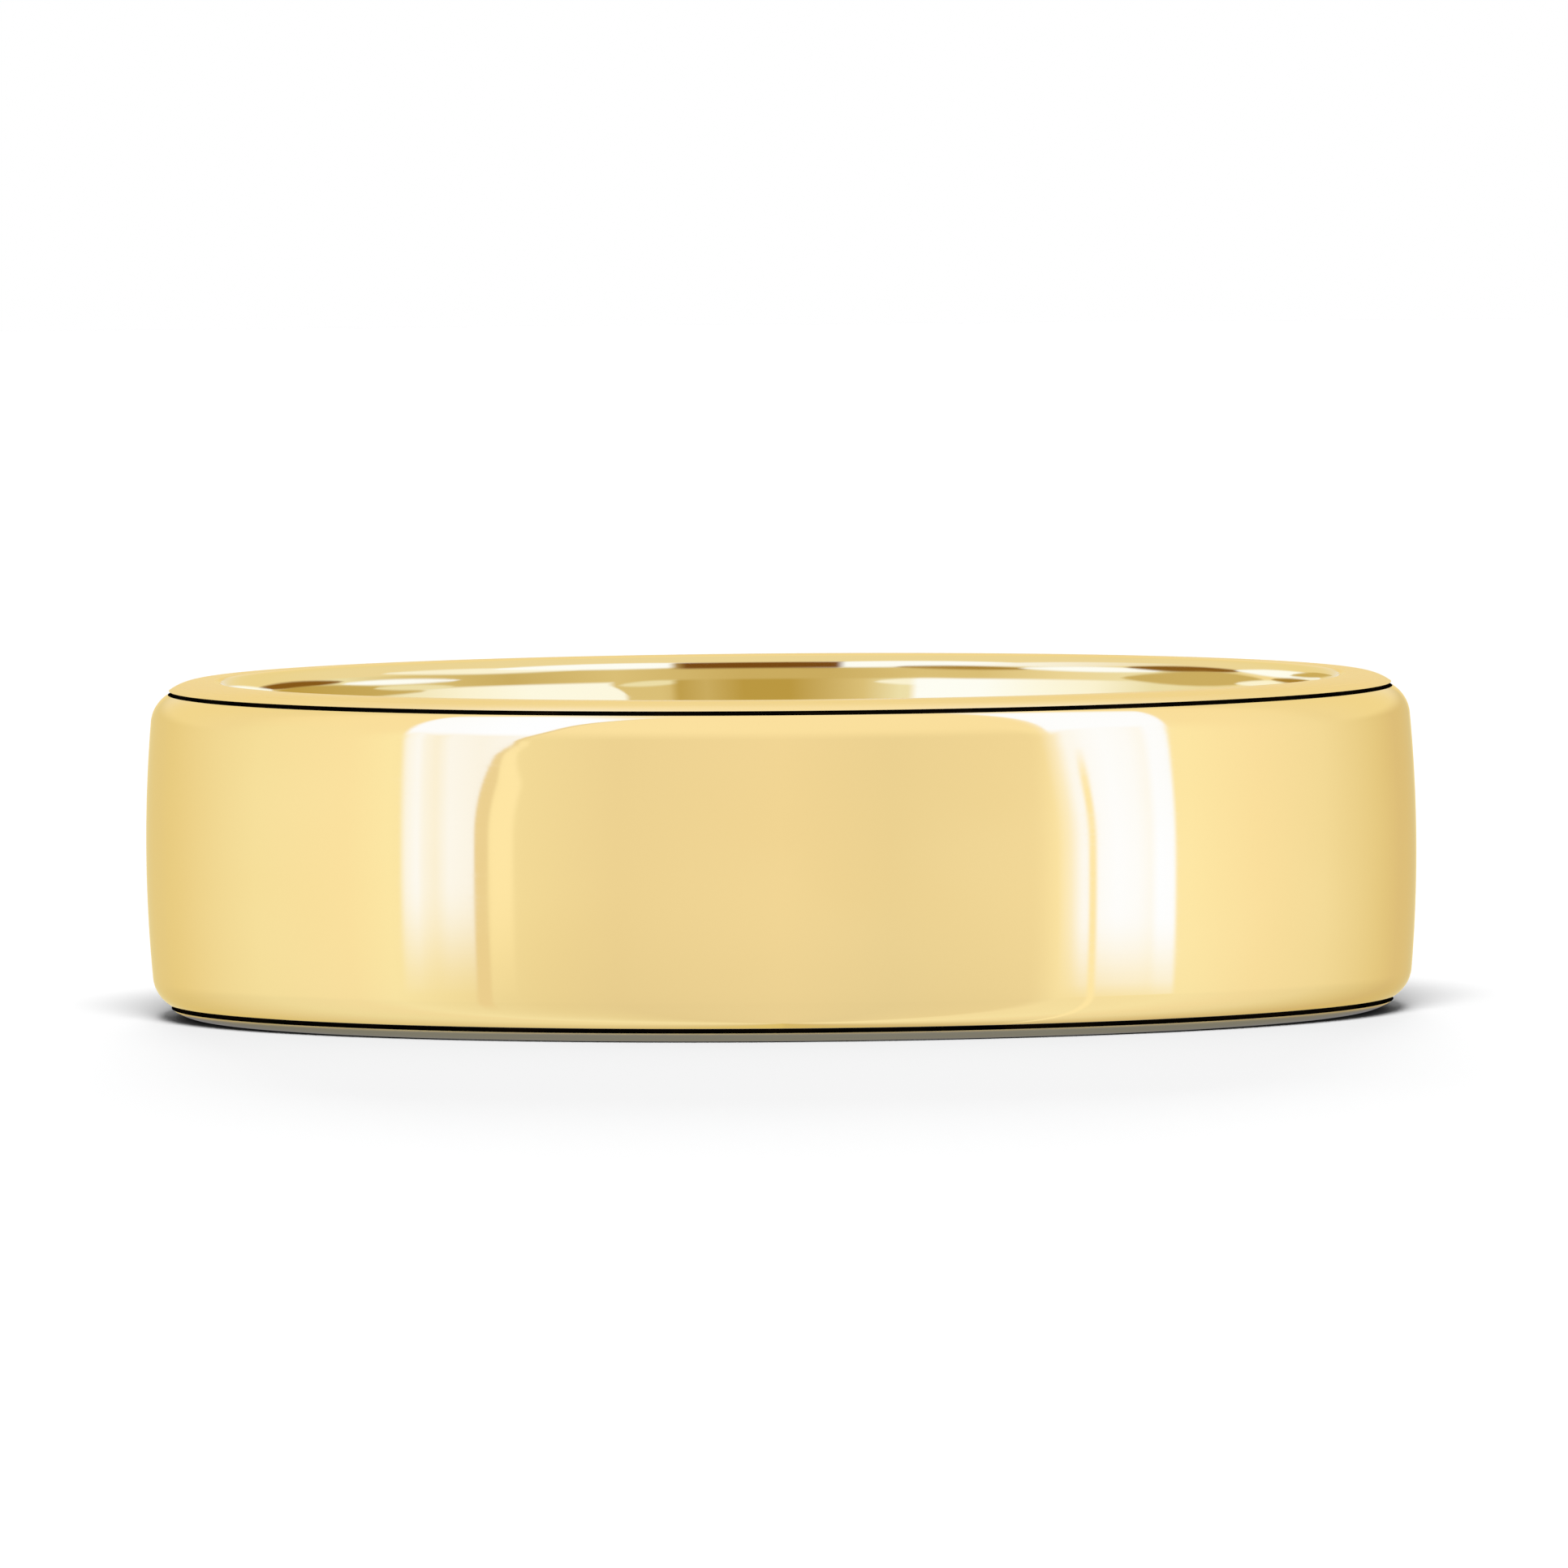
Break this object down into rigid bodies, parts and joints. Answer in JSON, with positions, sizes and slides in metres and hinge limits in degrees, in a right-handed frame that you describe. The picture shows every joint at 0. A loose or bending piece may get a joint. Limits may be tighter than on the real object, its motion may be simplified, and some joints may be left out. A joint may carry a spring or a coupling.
{
  "type": "wedding band",
  "caption": "Plain flat-court wedding band in polished yellow gold, with rolled shoulders, a fine line cut along each edge and a comfort-fit bore.",
  "frame": {"origin": "centre of the bore at mid-width, which is also the centre of the ring's box", "axes": "+Z along the bore, the way the finger goes through; the ring is the same all round Z and mirrors across the XY plane"},
  "size_m": [0.0228, 0.0226, 0.006],
  "materials": {
    "yellow_gold": "mirror-polished yellow gold alloy"
  },
  "bodies": {
    "root": {"band": "yellow_gold"}
  },
  "joints": []
}
